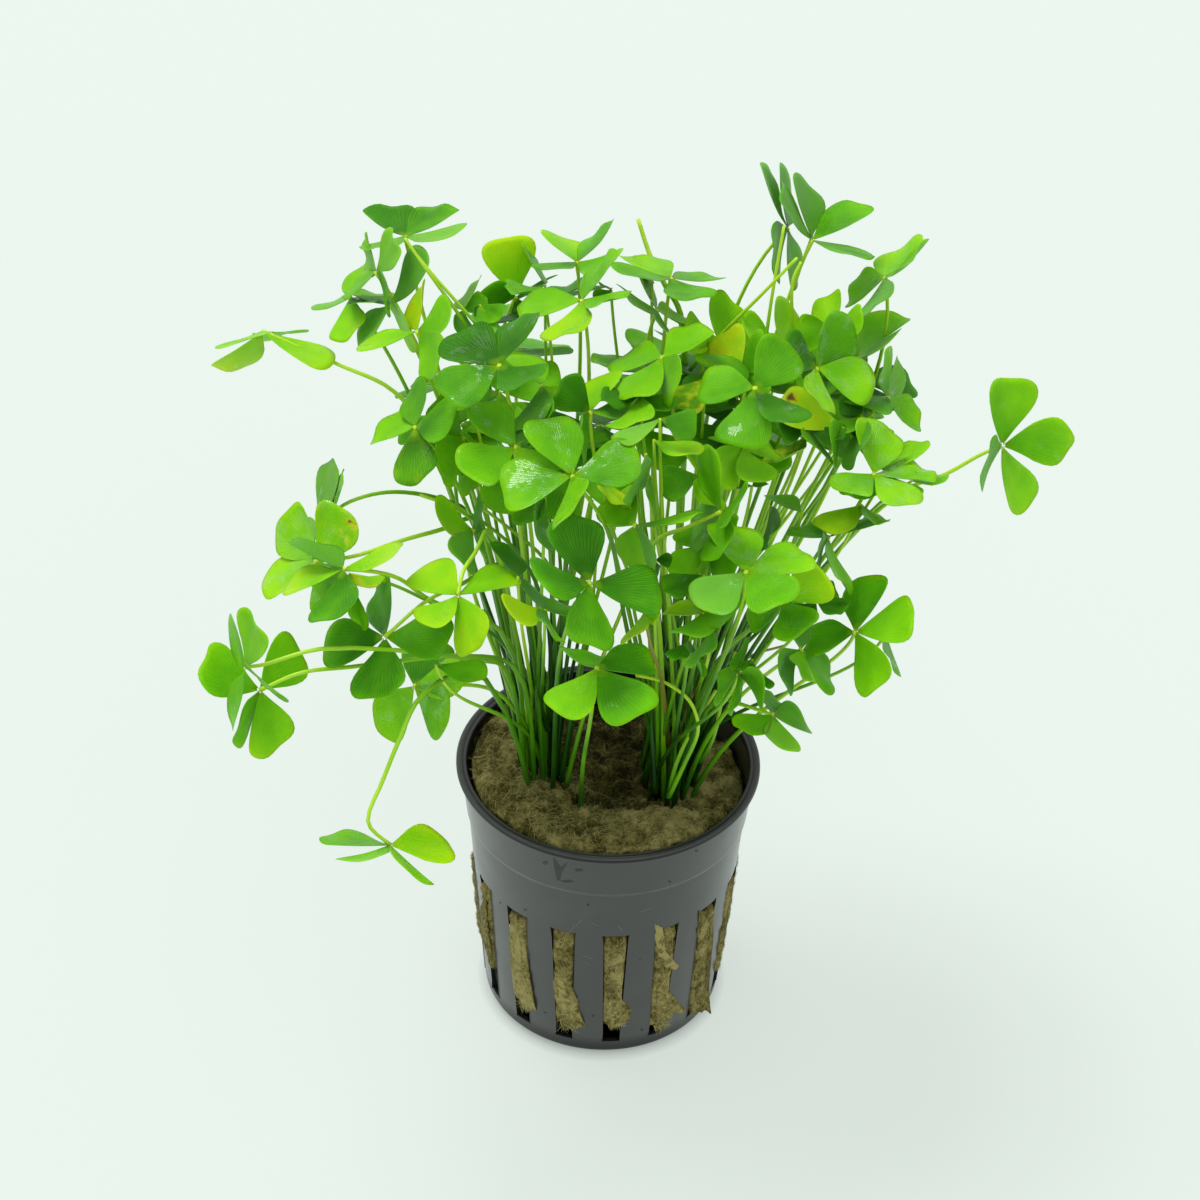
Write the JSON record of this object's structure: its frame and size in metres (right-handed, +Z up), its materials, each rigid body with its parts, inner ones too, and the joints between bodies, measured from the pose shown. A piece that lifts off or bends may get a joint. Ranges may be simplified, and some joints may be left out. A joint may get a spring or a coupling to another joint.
{
  "type": "potted marsilea crenata",
  "caption": "Slotted net pot with a rock-wool plug, carrying a loose crown of clover-like water-fern fronds on long thin stems.",
  "frame": {"origin": "middle of the pot's underside, on the surface that the pot stands on", "axes": "+Z up along the pot's axis, -Y the front as in the picture, +X to the right"},
  "size_m": [0.1354, 0.104, 0.1496],
  "materials": {
    "pot_plastic": "satin dark grey moulded plastic",
    "rock_wool": "damp olive-brown mineral fibre",
    "leaf": "fresh green leaf with a soft waxy sheen"
  },
  "bodies": {
    "root": {"pot": "pot_plastic", "rock_wool": "rock_wool", "frond_01": "leaf", "frond_02": "leaf", "frond_03": "leaf", "frond_04": "leaf", "frond_05": "leaf", "frond_06": "leaf", "frond_07": "leaf", "frond_08": "leaf", "frond_09": "leaf", "frond_10": "leaf", "frond_11": "leaf", "frond_12": "leaf", "frond_13": "leaf", "frond_14": "leaf", "frond_15": "leaf", "frond_16": "leaf", "frond_17": "leaf", "frond_18": "leaf", "frond_19": "leaf", "frond_20": "leaf", "frond_21": "leaf", "frond_22": "leaf", "frond_23": "leaf", "frond_24": "leaf", "frond_25": "leaf", "frond_26": "leaf", "frond_27": "leaf", "frond_28": "leaf", "frond_29": "leaf", "frond_30": "leaf", "frond_31": "leaf", "frond_32": "leaf", "frond_33": "leaf", "frond_34": "leaf", "frond_35": "leaf", "frond_36": "leaf", "frond_37": "leaf", "frond_38": "leaf", "frond_39": "leaf", "frond_40": "leaf", "frond_41": "leaf", "frond_42": "leaf", "frond_43": "leaf", "frond_44": "leaf", "frond_45": "leaf", "frond_46": "leaf", "frond_47": "leaf", "frond_48": "leaf", "frond_49": "leaf", "frond_50": "leaf", "frond_51": "leaf", "frond_52": "leaf", "frond_53": "leaf", "frond_54": "leaf", "frond_55": "leaf", "frond_56": "leaf", "frond_57": "leaf", "bare_stalk": "leaf"}
  },
  "joints": []
}
